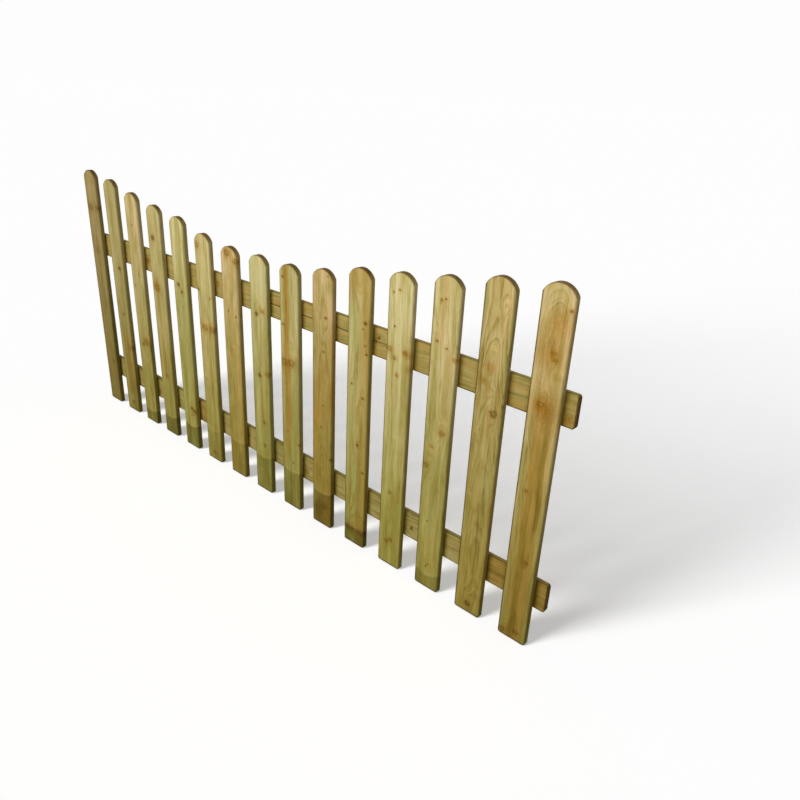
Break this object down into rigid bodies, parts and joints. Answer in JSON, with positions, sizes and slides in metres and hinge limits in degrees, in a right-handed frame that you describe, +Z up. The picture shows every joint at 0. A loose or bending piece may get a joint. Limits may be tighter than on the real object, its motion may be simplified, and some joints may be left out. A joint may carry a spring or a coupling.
{
  "type": "garden fence panel",
  "caption": "Garden fence panel: upright round-headed softwood pales on the front of two level rails, open gaps between them and a top line that dips to the middle.",
  "frame": {"origin": "centre of the flat left end face of the lower rail", "axes": "+X along the rails to the right end, +Z up the pales, and -Y the front, where the pales are"},
  "size_m": [1.8, 0.03, 0.782],
  "materials": {
    "pale_wood": "planed, pressure treated",
    "rail_wood": "planed, pressure treated"
  },
  "bodies": {
    "root": {"pale_01": "pale_wood", "pale_02": "pale_wood", "pale_03": "pale_wood", "pale_04": "pale_wood", "pale_05": "pale_wood", "pale_06": "pale_wood", "pale_07": "pale_wood", "pale_08": "pale_wood", "pale_09": "pale_wood", "pale_10": "pale_wood", "pale_11": "pale_wood", "pale_12": "pale_wood", "pale_13": "pale_wood", "pale_14": "pale_wood", "pale_15": "pale_wood", "lower_rail": "rail_wood", "upper_rail": "rail_wood"}
  },
  "joints": []
}
